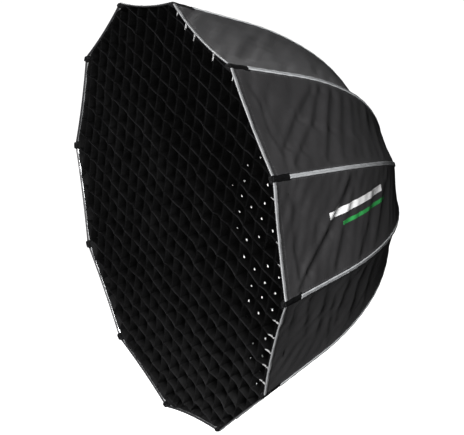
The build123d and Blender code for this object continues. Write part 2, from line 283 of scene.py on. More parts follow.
def skin(piece, body, shares):
    """The piece rides on a body and bends between the bodies that shares (name: array) names."""
    for name, share in shares.items():
        group = piece.vertex_groups.new(name=name)
        for level in np.unique(np.round(share, 3)):
            if level > 0:
                group.add(np.flatnonzero(np.round(share, 3) == level).tolist(), level, "REPLACE")
    bend = piece.modifiers.new("bend", "ARMATURE")
    bend.object = rig(body)
    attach(piece, body)


BILLOW = 0.22                      # share of the hub at a gore's middle: folded cloth swells


def gore_shares(number, share):
    """How much of each body a point takes, at a share of the way from rib number to the next."""
    middle = 4 * share * (1 - share)
    hub = BILLOW * middle**2
    following = RIB_BODIES[number % RIBS]
    return {
        RIB_BODIES[number - 1]: (1 - share) * (1 - hub),
        following: share * (1 - hub),
        HUB_BODY: hub,
    }


def front_shares(points):
    """Shares for a piece inside the rim: all ribs alike at the axis, the nearest two at the rim."""
    turn = (np.arctan2(points[:, 2], points[:, 0]) - FIRST_RIB) / PITCH % RIBS
    out = np.clip(np.hypot(points[:, 0], points[:, 2]) / RIM_RADIUS, 0, 1)
    shares = {}
    for number, body in enumerate(RIB_BODIES):
        gap = np.abs((turn - number + RIBS / 2) % RIBS - RIBS / 2)
        shares[body] = (1 - out) / RIBS + out * np.clip(1 - gap, 0, 1)
    return shares


# ---- Materials ----
class Nodes:
    """A material's nodes. Each method makes one or a few and returns the last one's output."""

    def __init__(self, name):
        self.material = bpy.data.materials.new(name)
        self.material.use_nodes = True
        self.tree = self.material.node_tree
        self.shader = self.tree.nodes["Principled BSDF"]

    def put(self, socket, value):
        if isinstance(value, bpy.types.NodeSocket):
            self.tree.links.new(value, socket)
        elif hasattr(socket.default_value, "__len__") and not hasattr(value, "__len__"):
            socket.default_value = [value] * len(socket.default_value)
        elif hasattr(value, "__len__") and len(value) == 3 and len(socket.default_value) == 4:
            socket.default_value = [*value, 1]
        else:
            socket.default_value = value

    def new(self, kind, inputs, output=0, **options):
        node = self.tree.nodes.new("ShaderNode" + kind)
        for option, value in options.items():
            setattr(node, option, value)
        for key, value in inputs.items():
            self.put(node.inputs[key], value)
        return node.outputs[output]

    def math(self, operation, *values):
        return self.new("Math", dict(enumerate(values)), operation=operation)

    def times(self, first, second):
        return self.math("MULTIPLY", first, second)

    def uv(self, label, scale=(1, 1, 1)):
        place = self.new("UVMap", {}, uv_map=label)
        return self.new("Mapping", {"Vector": place, "Scale": scale})

    def spot(self, scale=(1, 1, 1)):
        place = self.new("TexCoord", {}, output=3)
        return self.new("Mapping", {"Vector": place, "Scale": scale})

    def split(self, vector, part):
        return self.new("SeparateXYZ", {0: vector}, output=part)

    def noise(self, vector, scale, detail=3, rough=0.5):
        inputs = {"Vector": vector, "Scale": scale, "Detail": detail, "Roughness": rough}
        return self.new("TexNoise", inputs)

    def ramp(self, value, low, high, start=0.0, end=1.0):
        inputs = {"Value": value, 1: low, 2: high, 3: start, 4: end}
        return self.new("MapRange", inputs, interpolation_type="SMOOTHSTEP")

    def mix(self, factor, first, second):
        made = self.tree.nodes.new("ShaderNodeMix")
        made.data_type = "RGBA"
        self.put(made.inputs[0], factor)
        self.put(made.inputs[6], first)
        self.put(made.inputs[7], second)
        return made.outputs[2]

    def bump(self, height, strength, distance, normal=None):
        inputs = {"Height": height, "Strength": strength, "Distance": distance}
        if normal is not None:
            inputs["Normal"] = normal
        return self.new("Bump", inputs)

    def line(self, place, at, half):
        """1 on a line at a place, fading out to 0 at half its width."""
        away = self.math("ABSOLUTE", self.math("SUBTRACT", place, at))
        return self.ramp(away, half, half * 0.55)

    def dashes(self, place, pitch, filled=0.68):
        share = self.math("FRACT", self.times(place, 1 / pitch))
        centred = self.math("ABSOLUTE", self.math("SUBTRACT", share, 0.5))
        return self.ramp(centred, filled / 2 + 0.06, filled / 2 - 0.06)

    def finish(self, **inputs):
        for key, value in inputs.items():
            self.put(self.shader.inputs[key.replace("_", " ")], value)
        return self.material


def weave(n, label, thread):
    """Height of a plain weave of threads of that width."""
    u = n.times(n.split(n.uv(label), 0), math.pi / thread)
    v = n.times(n.split(n.uv(label), 1), math.pi / thread)
    return n.times(n.math("SINE", u), n.math("SINE", v))


def canopy_fabric():
    """Black satin polyester, with slubs, puckers along the seams and a scuffed edge."""
    n = Nodes("canopy_fabric")
    cloth = n.uv("cloth")
    slub = n.noise(n.uv("cloth", (1, 0.08, 1)), 900, 2)
    weft = n.noise(n.uv("cloth", (0.08, 1, 1)), 900, 2)
    cloud = n.noise(cloth, 9, 4)
    tone = n.math("ADD", n.times(slub, 0.3), n.times(weft, 0.3))
    tone = n.math("ADD", tone, n.times(cloud, 0.4))
    colour = n.mix(n.ramp(tone, 0.36, 0.66), (0.017, 0.0165, 0.0172), (0.027, 0.0262, 0.0272))
    to_seam = n.split(n.uv("edge"), 0)
    to_rim = n.split(n.uv("edge"), 1)
    along = n.split(cloth, 1)
    across = n.split(cloth, 0)
    worn = n.times(n.ramp(to_seam, 0.016, 0.004), n.ramp(n.noise(cloth, 70, 4), 0.45, 0.7))
    colour = n.mix(n.times(worn, 0.35), colour, (0.085, 0.085, 0.088))
    seam_stitch = n.times(n.line(to_seam, 9 * MM, 0.55 * MM), n.dashes(along, 3.2 * MM))
    rim_stitch = n.times(n.line(to_rim, 20 * MM, 0.6 * MM), n.dashes(across, 3.2 * MM))
    stitch = n.math("MAXIMUM", seam_stitch, rim_stitch)
    colour = n.mix(n.times(stitch, 0.7), colour, (0.075, 0.075, 0.08))
    pucker = n.math("SINE", n.times(along, math.tau / (9 * MM)))
    pucker = n.times(pucker, n.ramp(to_seam, 0.022, 0.006))
    hem = n.math("SINE", n.times(across, math.tau / (10 * MM)))
    hem = n.times(hem, n.ramp(to_rim, 0.03, 0.012))
    gather = n.times(n.math("ADD", pucker, hem), n.noise(cloth, 24, 2))
    normal = n.bump(n.noise(n.uv("cloth", (1, 0.45, 1)), 26, 3), 0.32, 4 * MM)
    normal = n.bump(gather, 0.45, 0.7 * MM, normal)
    normal = n.bump(stitch, 0.8, 0.5 * MM, normal)
    normal = n.bump(weave(n, "cloth", 0.55 * MM), 0.22, 0.12 * MM, normal)
    rough = n.ramp(tone, 0.3, 0.7, 0.44, 0.54)
    return n.finish(
        Base_Color=colour, Roughness=rough, Normal=normal, Sheen_Weight=0.04,
        Sheen_Roughness=0.4, Sheen_Tint=(0.8, 0.8, 0.82), Specular_IOR_Level=0.55,
    )


def silver_lining():
    """Silver-coated inside of the canopy, finely crinkled."""
    n = Nodes("silver_lining")
    cloth = n.uv("cloth")
    crinkle = n.new("TexVoronoi", {"Vector": cloth, "Scale": 160.0}, feature="SMOOTH_F1")
    cloud = n.noise(cloth, 14, 3)
    colour = n.mix(n.ramp(cloud, 0.3, 0.7), (0.60, 0.61, 0.62), (0.74, 0.75, 0.76))
    normal = n.bump(n.noise(cloth, 30, 3), 0.4, 4 * MM)
    normal = n.bump(crinkle, 0.35, 0.8 * MM, normal)
    normal = n.bump(weave(n, "cloth", 0.6 * MM), 0.2, 0.1 * MM, normal)
    rough = n.ramp(cloud, 0.3, 0.7, 0.3, 0.42)
    return n.finish(Base_Color=colour, Metallic=0.85, Roughness=rough, Normal=normal)


def woven_tape(name, pale, dirt_and_shade, selvedge):
    """Grey woven tape with a row of stitches, a little dirt, painted shade in the groove down its
    middle, and black selvedges.
    """
    n = Nodes(name)
    tape = n.uv("cloth")
    along, across = n.split(tape, 1), n.split(tape, 0)
    ribs = n.math("SINE", n.times(along, math.tau / (0.9 * MM)))
    stitch = n.times(n.line(across, 0.0, 0.6 * MM), n.dashes(along, 3.0 * MM))
    groove = n.line(across, 0.0, 1.9 * MM)
    dirt = n.ramp(n.noise(n.uv("cloth", (1, 0.35, 1)), 60, 4), 0.42, 0.75)
    colour = n.mix(n.times(dirt, 0.5), pale, dirt_and_shade)
    # Painted shade: the groove down the middle is darker.
    colour = n.mix(n.times(groove, 0.6), colour, dirt_and_shade)
    colour = n.mix(stitch, colour, pale)
    to_middle = n.math("ABSOLUTE", across)
    colour = n.mix(n.ramp(to_middle, selvedge, selvedge + 0.5 * MM), colour, (0.02, 0.02, 0.021))
    normal = n.bump(groove, 0.6, -0.5 * MM)
    normal = n.bump(stitch, 0.8, 0.5 * MM, normal)
    normal = n.bump(ribs, 0.25, 0.15 * MM, normal)
    rough = n.ramp(dirt, 0, 1, 0.42, 0.6)
    return n.finish(Base_Color=colour, Roughness=rough, Normal=normal, Specular_IOR_Level=0.6)


def pocket_webbing():
    """Black nylon webbing: a chevron weave, bar tacks and fuzz."""
    n = Nodes("pocket_webbing")
    cloth = n.uv("cloth")
    across, along = n.split(cloth, 0), n.split(cloth, 1)
    slant = n.math("PINGPONG", across, 2.4 * MM)
    chevron = n.math("SINE", n.times(n.math("ADD", along, slant), math.tau / (1.3 * MM)))
    fuzz = n.noise(cloth, 420, 3)
    colour = n.mix(n.ramp(fuzz, 0.35, 0.7), (0.0014, 0.0014, 0.0015), (0.004, 0.004, 0.0042))
    edge = n.split(n.uv("edge"), 0)
    end = n.split(n.uv("edge"), 1)
    side_row = n.times(n.line(edge, 2.6 * MM, 0.5 * MM), n.dashes(along, 2.6 * MM))
    end_row = n.times(n.line(end, 5 * MM, 0.6 * MM), n.dashes(across, 1.4 * MM, 0.5))
    stitch = n.math("MAXIMUM", side_row, end_row)
    colour = n.mix(stitch, colour, (0.028, 0.028, 0.03))
    normal = n.bump(chevron, 0.4, 0.25 * MM)
    normal = n.bump(stitch, 0.9, 0.5 * MM, normal)
    return n.finish(
        Base_Color=colour, Roughness=0.8, Normal=normal, Sheen_Weight=0.006,
        Sheen_Roughness=0.5, Specular_IOR_Level=0.06,
    )


def grid_fabric():
    """Thin black nylon with white tabs. Painted shade darkens it deep in the cells and towards +X
    and up, painted light makes it paler at the bottom, and a painted highlight runs along the
    strips' edges, mostly on the long strips.
    """
    n = Nodes("grid_fabric")
    cloth = n.uv("cloth")
    along, deep = n.split(cloth, 0), n.split(cloth, 1)
    cloud = n.noise(cloth, 40, 3)
    place = n.spot()
    x, z = n.split(place, 0), n.split(place, 2)
    # Painted shade: the cloth near the edges gets darker towards +X and up.
    painted_shade_upper_right = n.ramp(n.math("ADD", x, z), 0.55, -0.15, 0.3, 1.0)
    # Painted light: the cloth gets paler towards the bottom.
    low = n.ramp(z, -0.15, -0.6)
    # Painted shade: the cloth keeps its colour only near the strips' edges and goes dark deep in
    # the cells.
    front = n.times(n.ramp(deep, 0.029, 0.004), n.ramp(cloud, 0.3, 0.7, 0.55, 1.0))
    edge = n.split(n.uv("edge"), 0)
    # Painted highlight on the strips' edges: full on the long strips, faint on the cross strips.
    long_strip_highlight = n.ramp(n.split(n.uv("edge"), 1), 0.6, 0.4, 0.15, 1.0)
    front = n.times(front, painted_shade_upper_right)
    # Painted light: a paler colour towards the bottom.
    colour = n.mix(low, (0.0040, 0.0040, 0.0041), (0.0095, 0.0095, 0.0097))
    # Painted shade: deep in the cells the colour falls to near black.
    colour = n.mix(front, (0.0004, 0.0004, 0.0004), colour)
    # Painted highlight: the pale edge line shows in some stretches and fades in others.
    shown = n.ramp(n.noise(n.spot((1, 0.2, 1)), 14, 3, 0.6), 0.38, 0.62, 0.1, 1.0)
    hem = n.times(n.line(edge, 0.0, 1.8 * MM), n.times(long_strip_highlight, shown))
    row = n.times(n.line(edge, 3.2 * MM, 0.6 * MM), n.dashes(along, 3 * MM))
    # Painted highlight: a pale line along the strips' edges.
    colour = n.mix(n.times(hem, 0.3), colour, (0.034, 0.034, 0.036))
    colour = n.mix(n.times(row, 0.5), colour, (0.02, 0.02, 0.021))
    tab = n.ramp(n.split(n.uv("tab"), 0), 0.98, 1.02)
    colour = n.mix(tab, colour, (0.30, 0.30, 0.30))
    wave = n.noise(n.uv("cloth", (1, 0.4, 1)), 34, 3)
    normal = n.bump(wave, 0.5, 4 * MM)
    normal = n.bump(row, 0.7, 0.4 * MM, normal)
    normal = n.bump(weave(n, "cloth", 0.5 * MM), 0.25, 0.12 * MM, normal)
    rough = n.ramp(deep, 0.0, 0.05, 0.5, 0.6)
    return n.finish(Base_Color=colour, Roughness=rough, Normal=normal, Specular_IOR_Level=0.03)


def diffuser_fabric():
    """White diffusion nylon: a fine ripstop check and a stitched hem."""
    n = Nodes("diffuser_fabric")
    cloth = n.uv("cloth")
    across, along = n.split(cloth, 0), n.split(cloth, 1)
    check = n.math("MAXIMUM", n.dashes(across, 5 * MM, 0.02), n.dashes(along, 5 * MM, 0.02))
    cloud = n.noise(cloth, 12, 3)
    colour = n.mix(n.ramp(cloud, 0.3, 0.7), (0.80, 0.80, 0.79), (0.86, 0.86, 0.85))
    colour = n.mix(n.times(check, 0.3), colour, (0.70, 0.70, 0.69))
    to_rim = n.split(n.uv("edge"), 0)
    round_rim = n.split(n.uv("edge"), 1)
    row = n.times(n.line(to_rim, 16 * MM, 0.6 * MM), n.dashes(round_rim, 3 * MM))
    colour = n.mix(n.times(row, 0.6), colour, (0.55, 0.55, 0.55))
    normal = n.bump(n.noise(cloth, 22, 3), 0.3, 4 * MM)
    normal = n.bump(n.ramp(to_rim, 19 * MM, 18 * MM), 0.5, 0.6 * MM, normal)
    normal = n.bump(n.math("ADD", check, row), 0.4, 0.2 * MM, normal)
    rough = n.ramp(cloud, 0.3, 0.7, 0.62, 0.72)
    return n.finish(Base_Color=colour, Roughness=rough, Normal=normal, Sheen_Weight=0.1)


def stripe_print(name, colour, worn):
    """Screen-printed ink, slightly cracked, with the weave showing through."""
    n = Nodes(name)
    cloth = n.uv("cloth")
    gaps = n.ramp(n.noise(cloth, 260, 4, 0.6), 0.56, 0.72)
    mixed = n.mix(n.times(gaps, 0.45), colour, worn)
    normal = n.bump(weave(n, "cloth", 0.55 * MM), 0.3, 0.1 * MM)
    return n.finish(Base_Color=mixed, Roughness=n.ramp(gaps, 0, 1, 0.45, 0.6), Normal=normal)


def turned_metal(name, colour, dark, metallic, rough, worn):
    """Metal turned on a lathe about the axis, with bare edges."""
    n = Nodes(name)
    spot = n.spot()
    x, z = n.split(spot, 0), n.split(spot, 2)
    squares = n.math("ADD", n.times(x, x), n.times(z, z))
    radius = n.math("SQRT", squares)
    place = n.new("CombineXYZ", {0: radius, 1: n.split(spot, 1), 2: 0.0})
    rings = n.noise(place, 2600, 2)
    cloud = n.noise(spot, 60, 4)
    mixed = n.mix(n.ramp(cloud, 0.35, 0.7), colour, dark)
    sharp = n.new("NewGeometry", {}, output=7)
    bare = n.times(n.ramp(sharp, 0.53, 0.6), n.ramp(n.noise(spot, 240, 3), 0.4, 0.6))
    mixed = n.mix(n.times(bare, 0.8), mixed, worn)
    normal = n.bump(rings, 0.25, 0.1 * MM)
    roughness = n.ramp(cloud, 0.3, 0.7, rough, rough + 0.12)
    return n.finish(Base_Color=mixed, Metallic=metallic, Roughness=roughness, Normal=normal)


def rod_fibreglass():
    """Pultruded rod: dark, with fibres along it and a clear gel coat."""
    n = Nodes("rod_fibreglass")
    fibres = n.noise(n.spot((1, 0.12, 1)), 900, 2)
    cloud = n.noise(n.spot(), 50, 3)
    colour = n.mix(n.ramp(fibres, 0.35, 0.7), (0.018, 0.018, 0.02), (0.05, 0.05, 0.052))
    normal = n.bump(fibres, 0.2, 0.1 * MM)
    rough = n.ramp(cloud, 0.3, 0.7, 0.28, 0.42)
    return n.finish(Base_Color=colour, Roughness=rough, Normal=normal, Coat_Weight=0.3)


def satin_metal(name, colour, dark, rough):
    """Pressed or drawn metal with fine scratches."""
    n = Nodes(name)
    spot = n.spot()
    scratches = n.noise(n.spot((1, 0.1, 1)), 1500, 3)
    cloud = n.noise(spot, 90, 4)
    mixed = n.mix(n.ramp(cloud, 0.35, 0.7), colour, dark)
    sharp = n.new("NewGeometry", {}, output=7)
    mixed = n.mix(n.ramp(sharp, 0.54, 0.62, 0, 0.5), mixed, (0.75, 0.75, 0.76))
    normal = n.bump(scratches, 0.18, 0.08 * MM)
    roughness = n.ramp(scratches, 0.3, 0.7, rough, rough + 0.15)
    return n.finish(Base_Color=mixed, Metallic=1.0, Roughness=roughness, Normal=normal)


materials = {
    "canopy_fabric": canopy_fabric(),
    "silver_lining": silver_lining(),
    "seam_tape": woven_tape("seam_tape", (0.38, 0.39, 0.40), (0.22, 0.225, 0.23), 4.7 * MM),
    "rim_tape": woven_tape("rim_tape", (0.155, 0.157, 0.16), (0.10, 0.101, 0.103), 9.0 * MM),
    "pocket_webbing": pocket_webbing(),
    "grid_fabric": grid_fabric(),
    "diffuser_fabric": diffuser_fabric(),
    "pale_print": stripe_print("pale_print", (0.78, 0.78, 0.78), (0.3, 0.3, 0.3)),
    "green_print": stripe_print("green_print", (0.03, 0.30, 0.07), (0.02, 0.08, 0.03)),
    "ring_metal": turned_metal(
        "ring_metal", (0.028, 0.028, 0.030), (0.045, 0.045, 0.047), 0.55, 0.38, (0.5, 0.5, 0.52)
    ),
    "bayonet_steel": turned_metal(
        "bayonet_steel", (0.56, 0.56, 0.57), (0.46, 0.46, 0.47), 1.0, 0.24, (0.8, 0.8, 0.81)
    ),
    "arm_metal": satin_metal("arm_metal", (0.38, 0.38, 0.39), (0.30, 0.30, 0.31), 0.34),
    "pin_steel": satin_metal("pin_steel", (0.58, 0.58, 0.59), (0.48, 0.48, 0.49), 0.22),
    "spring_steel": satin_metal("spring_steel", (0.50, 0.50, 0.50), (0.40, 0.39, 0.38), 0.3),
    "screw_steel": satin_metal("screw_steel", (0.12, 0.12, 0.125), (0.08, 0.08, 0.085), 0.35),
    "rod_fibreglass": rod_fibreglass(),
}

# ---- Canopy ----
GORE_LENGTH = 851.9 * MM           # along a rib, from the rim to the inner edge
CLOTH = 0.6 * MM
LINING = 0.5 * MM
# Depth of a gore's middle, as a share of its width: of gore 12 first, then gores 1 to 11. No two
# are stretched alike.
SAGS = np.array(
    [0.014, 0.019, 0.044, 0.030, 0.020, 0.034, 0.024, 0.023, 0.021, 0.032, 0.005, 0.028]
)
SCALLOP = 2 * MM                   # how far the rim's middle lies behind its corners

# Folds of the cloth that shows most: (across, from the rim) of both ends, half width and height,
# in millimetres. Across is from a gore's middle, towards the next rib.
FOLDS = {
    12: [
        (-138, 62, -96, 103, 6, 3.0), (-96, 103, -19, 202, 7, 3.4), (-19, 202, 94, 315, 9, 2.6),
        (-114, 215, -32, 265, 8, 2.4), (-32, 265, 60, 330, 10, 1.6),
        (-115, 324, -40, 389, 8, 2.2), (-40, 389, 50, 440, 11, 1.4),
        (68, 74, -30, 66, 9, 1.3), (-30, 66, -107, 71, 7, 1.6),
        (142, 16, 86, 26, 8, 1.3), (142, 6, 90, 10, 7, -1.2), (126, 50, 60, 90, 10, 1.2),
        (-90, 430, 40, 520, 10, 1.8), (-100, 150, 10, 160, 12, 1.0),
    ],
    1: [
        (92, 284, 17, 188, 9, 2.8), (17, 188, -62, 104, 8, 2.8), (-62, 104, -82, 84, 7, 2.0),
        (100, 322, -3, 243, 9, 3.2), (-3, 243, -73, 160, 9, 3.0), (-73, 160, -118, 108, 7, 2.4),
        (92, 372, -15, 302, 10, 3.4), (-15, 302, -106, 240, 9, 3.0),
        (70, 420, -20, 360, 12, 2.2), (-20, 360, -104, 314, 12, 1.6),
        (70, 472, -20, 420, 13, 1.5), (-20, 420, -96, 372, 11, 1.2),
        (60, 510, -94, 414, 12, 1.2), (50, 560, -80, 470, 12, 1.2),
        (100, 50, 50, 68, 6, 0.9), (50, 68, -18, 62, 6, 0.9), (-18, 62, -92, 80, 6, 0.9),
        (110, 130, 60, 96, 8, 1.0), (60, 96, 0, 92, 8, 0.9), (-92, 80, -128, 70, 6, 0.8),
    ],
    2: [
        (57, 219, -85, 89, 12, 1.6), (24, 220, -72, 131, 10, 1.4), (90, 330, -60, 230, 14, 1.3),
        (80, 470, -70, 380, 12, 1.2),
    ],
    11: [
        (110, 67, 33, 68, 9, 2.2), (100, 200, -44, 209, 11, 2.2), (90, 300, -60, 286, 10, 2.2),
        (60, 245, -100, 260, 9, 1.8), (134, 22, 84, 32, 9, 1.7), (85, 370, -80, 360, 9, 2.0),
        (75, 440, -60, 440, 9, 1.8), (130, 120, -20, 150, 10, 1.6),
    ],
}
FOLD_DEPTH = 1.7                   # all folds together, as a share of the heights above
RIPPLE = 0.28                      # height of the slack's slow waves, in millimetres
# How far a fold may go in, so that the cloth stays clear of what lies inside it: over the grid's
# hem, and how much further over the diffuser's rim and then behind both.
HEM_ROOM = 1.5 * MM
DIFFUSER_ROOM = 1.2 * MM
OPEN_ROOM = 7 * MM


def folds_of(number):
    """The folds of a gore: as listed, or else a plausible fan across from each pocket."""
    if number in FOLDS:
        return FOLDS[number]
    draw = np.random.default_rng(100 + number)
    made = []
    for step in range(7):
        start = 60 + 70 * step + draw.uniform(-18, 18)
        width = 2 * seam(start * MM)[0] * math.sin(PITCH / 2) / MM
        side = draw.choice([-1, 1])
        height = draw.uniform(1.3, 2.6)
        bend = start + draw.uniform(20, 90)
        end = bend + draw.uniform(10, 80)
        half = draw.uniform(7, 11)
        made.append((side * 0.46 * width, start, side * -0.05 * width, bend, half, height))
        made.append((side * -0.05 * width, bend, side * -0.4 * width, end, half + 2, height * 0.7))
    return made


def wrinkled(number, across, back):
    """Height of a gore's folds at places in millimetres. A fold is steep towards the rim."""
    height = np.zeros(np.broadcast(across, back).shape)
    for x0, y0, x1, y1, half, tall in folds_of(number):
        long = math.hypot(x1 - x0, y1 - y0)
        ux, uy = (x1 - x0) / long, (y1 - y0) / long
        on = (across - x0) * ux + (back - y0) * uy
        off = ((back - y0) * ux - (across - x0) * uy) * math.copysign(1, ux)
        ends = ease((on + 2 * half) / (3 * half)) * ease((long + 2 * half - on) / (3 * half))
        valley = np.exp(-((off / np.where(off < 0, 1.25 * half, 2.8 * half)) ** 2))
        ridge = np.exp(-(((off + 2.2 * half) / (1.3 * half)) ** 2))
        height += FOLD_DEPTH * ends * tall * (0.35 * ridge - valley)
    draw = np.random.default_rng(number)
    for _ in range(5):
        turn = draw.uniform(-0.9, -0.3)
        length = draw.uniform(34, 70)
        phase = draw.uniform(0, math.tau)
        along = across * math.sin(turn) + back * math.cos(turn)
        height += RIPPLE * np.sin(along * math.tau / length + phase)
    return height


def gore_surface(number, share, back, below=0.0):
    """Points of a gore's outer face at shares across it and distances back from the rim, and its
    width there. below moves them towards the axis."""
    middle = 4 * share * (1 - share)
    back = back + SCALLOP * middle * ease(1 - back / 0.25)
    radius, reach, slope = seam(back)
    first = placed(radius, reach, rib_angle(number))
    second = placed(radius, reach, rib_angle(number + 1))
    width = 2 * radius * math.sin(PITCH / 2)
    square = outward(slope, rib_angle(number) + PITCH / 2)
    flat = first * (1 - share)[..., None] + second * share[..., None]
    across = (share - 0.5) * width
    side = np.minimum(share, 1 - share) * width
    calm = ease((side - 3 * MM) / (16 * MM)) * ease((back + 2 * MM) / (18 * MM))
    calm = calm * ease((GORE_LENGTH - back) / (30 * MM))
    rise = wrinkled(number, across / MM, back / MM) * MM * calm
    deepest = HEM_ROOM + DIFFUSER_ROOM * ease((back - 47 * MM) / (6 * MM))
    deepest = deepest + OPEN_ROOM * ease((back - 72 * MM) / (30 * MM))
    rise = np.maximum(rise, -deepest)
    rise = rise - SAGS[number % RIBS] * width * middle - below
    return flat + square * rise[..., None], width


def cloth_maps(share, back, width):
    """Where points are on a gore's cloth, and how far from its edges."""
    across = (share - 0.5) * width
    side = np.minimum(share, 1 - share) * width
    return {"cloth": pair(across, back), "edge": pair(side, back)}


def make_gore(number):
    """One gore and its silver lining, which is laminated to its inside."""
    columns, rows = ((56, 176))
    layers = (
        (f"canopy_gore_{number:02d}", "canopy_fabric", 0.0, CLOTH),
        (f"canopy_lining_{number:02d}", "silver_lining", CLOTH + 0.1 * MM, LINING),
    )
    for name, kind, below, thick in layers:
        share, back = np.meshgrid(
            np.linspace(0, 1, columns + 1), np.linspace(0, GORE_LENGTH, rows + 1), indexing="ij"
        )
        points, width = gore_surface(number, share, back, below)
        both, quads, maps = shell(points, thick, cloth_maps(share, back, width))
        piece, used = build(name, both, quads, maps, kind)
        shares = gore_shares(number, np.tile(share.ravel(), 2)[used])
        skin(piece, RIB_BODIES[number - 1], shares)
        if kind == "canopy_fabric":
            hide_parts(f"gore_{number:02d}")


TAPE_HALF = 5.0 * MM
TAPE_THICK = 0.7 * MM
POCKET_BACK = 66 * MM              # how far a rod's pocket reaches back from the rim
POCKET_AHEAD = 4.5 * MM


def make_seam_tape(number):
    """Tape sewn over the seam of two gores, from the hub's collar to the rod's pocket."""
    back = np.linspace(POCKET_BACK - 4 * MM, GORE_LENGTH - 3 * MM, 120)
    offsets = np.array([-1, -0.88, -0.5, -0.12, 0, 0.12, 0.5, 0.88, 1])
    heights = np.array([0.9, 2.7, 2.9, 2.95, 2.75, 2.95, 2.9, 2.7, 0.9]) * MM
    radius, _, slope = seam(back)
    angle = rib_angle(number)
    share = TAPE_HALF / (2 * radius * math.sin(PITCH / 2))
    before, _ = gore_surface((number - 2) % RIBS + 1, 1 - share, back)
    after, _ = gore_surface(number, share, back)
    rows = []
    for offset, height in zip(offsets, heights):
        flat = before + (after - before) * (offset + 1) / 2
        ripple = 0.25 * MM * np.sin(back / (7 * MM) + 2 * offset + number)
        rows.append(flat + outward(slope, angle) * (height + ripple)[..., None])
    points = np.stack(rows)
    maps = {"cloth": pair((offsets * TAPE_HALF)[:, None], back[None, :])}
    both, quads, maps = shell(points, TAPE_THICK, maps)
    piece, used = build(f"seam_tape_{number:02d}", both, quads, maps, "seam_tape", 60)
    aside = np.tile((offsets[:, None] * share[None, :]).ravel(), 2)[used]
    shares = gore_shares(number, np.abs(aside))
    beyond = shares.pop(RIB_BODIES[number % RIBS])
    shares[RIB_BODIES[number - 2]] = np.where(aside < 0, beyond, 0)
    shares[RIB_BODIES[number % RIBS]] = np.where(aside > 0, beyond, 0)
    skin(piece, RIB_BODIES[number - 1], shares)


BINDING_OUT = 7.0 * MM
BINDING_IN = 3 * MM
BINDING_THICK = 0.8 * MM


def make_rim_binding(number):
    """Tape folded over the rim edge of a gore, from one pocket to the next."""
    rim_width = 2 * RIM_RADIUS * math.sin(PITCH / 2)
    inset = 9 * MM / rim_width
    share = np.linspace(inset, 1 - inset, 60)
    stations = (
        (BINDING_OUT, 1.0 * MM), (5 * MM, 1.15 * MM), (3.5 * MM, 1.1 * MM), (1.5 * MM, 1.2 * MM),
        (-0.3 * MM, 0.8 * MM), (-0.8 * MM, -0.6 * MM), (-0.3 * MM, -1.9 * MM),
        (1.0 * MM, -2.3 * MM), (2 * MM, -2.2 * MM), (BINDING_IN, -2.1 * MM),
    )
    square = outward(RIM_SLOPE, rib_angle(number) + PITCH / 2)
    forward = placed(math.sin(RIM_SLOPE), math.cos(RIM_SLOPE), rib_angle(number) + PITCH / 2)
    ripple = 0.3 * MM * np.sin(share * rim_width / (6 * MM) + number)
    columns, across, travelled = [], [], 0.0
    for index, (behind, height) in enumerate(stations):
        points, _ = gore_surface(number, share, np.full(share.shape, max(behind, 0.0)))
        ahead = -min(behind, 0.0)
        points = points + square * (height + ripple * (index < 4))[..., None] + forward * ahead
        if columns:
            travelled += float(np.linalg.norm(points - columns[-1], axis=-1).mean())
        columns.append(points)
        across.append(travelled)
    points = np.stack(columns, axis=1)
    across = np.array(across) - across[3]
    maps = {"cloth": pair(across + 6 * MM, (share * rim_width)[:, None])}
    both, quads, maps = shell(points, BINDING_THICK, maps, flip=True)
    piece, used = build(f"rim_binding_{number:02d}", both, quads, maps, "rim_tape", 60)
    whole = np.repeat(share, len(stations))
    skin(piece, RIB_BODIES[number - 1], gore_shares(number, np.tile(whole, 2)[used]))


POCKET_HALF = 11.6 * MM            # half width, height above the rod and depth below it
POCKET_ROOF = 8.4 * MM
POCKET_BELLY = 5.6 * MM


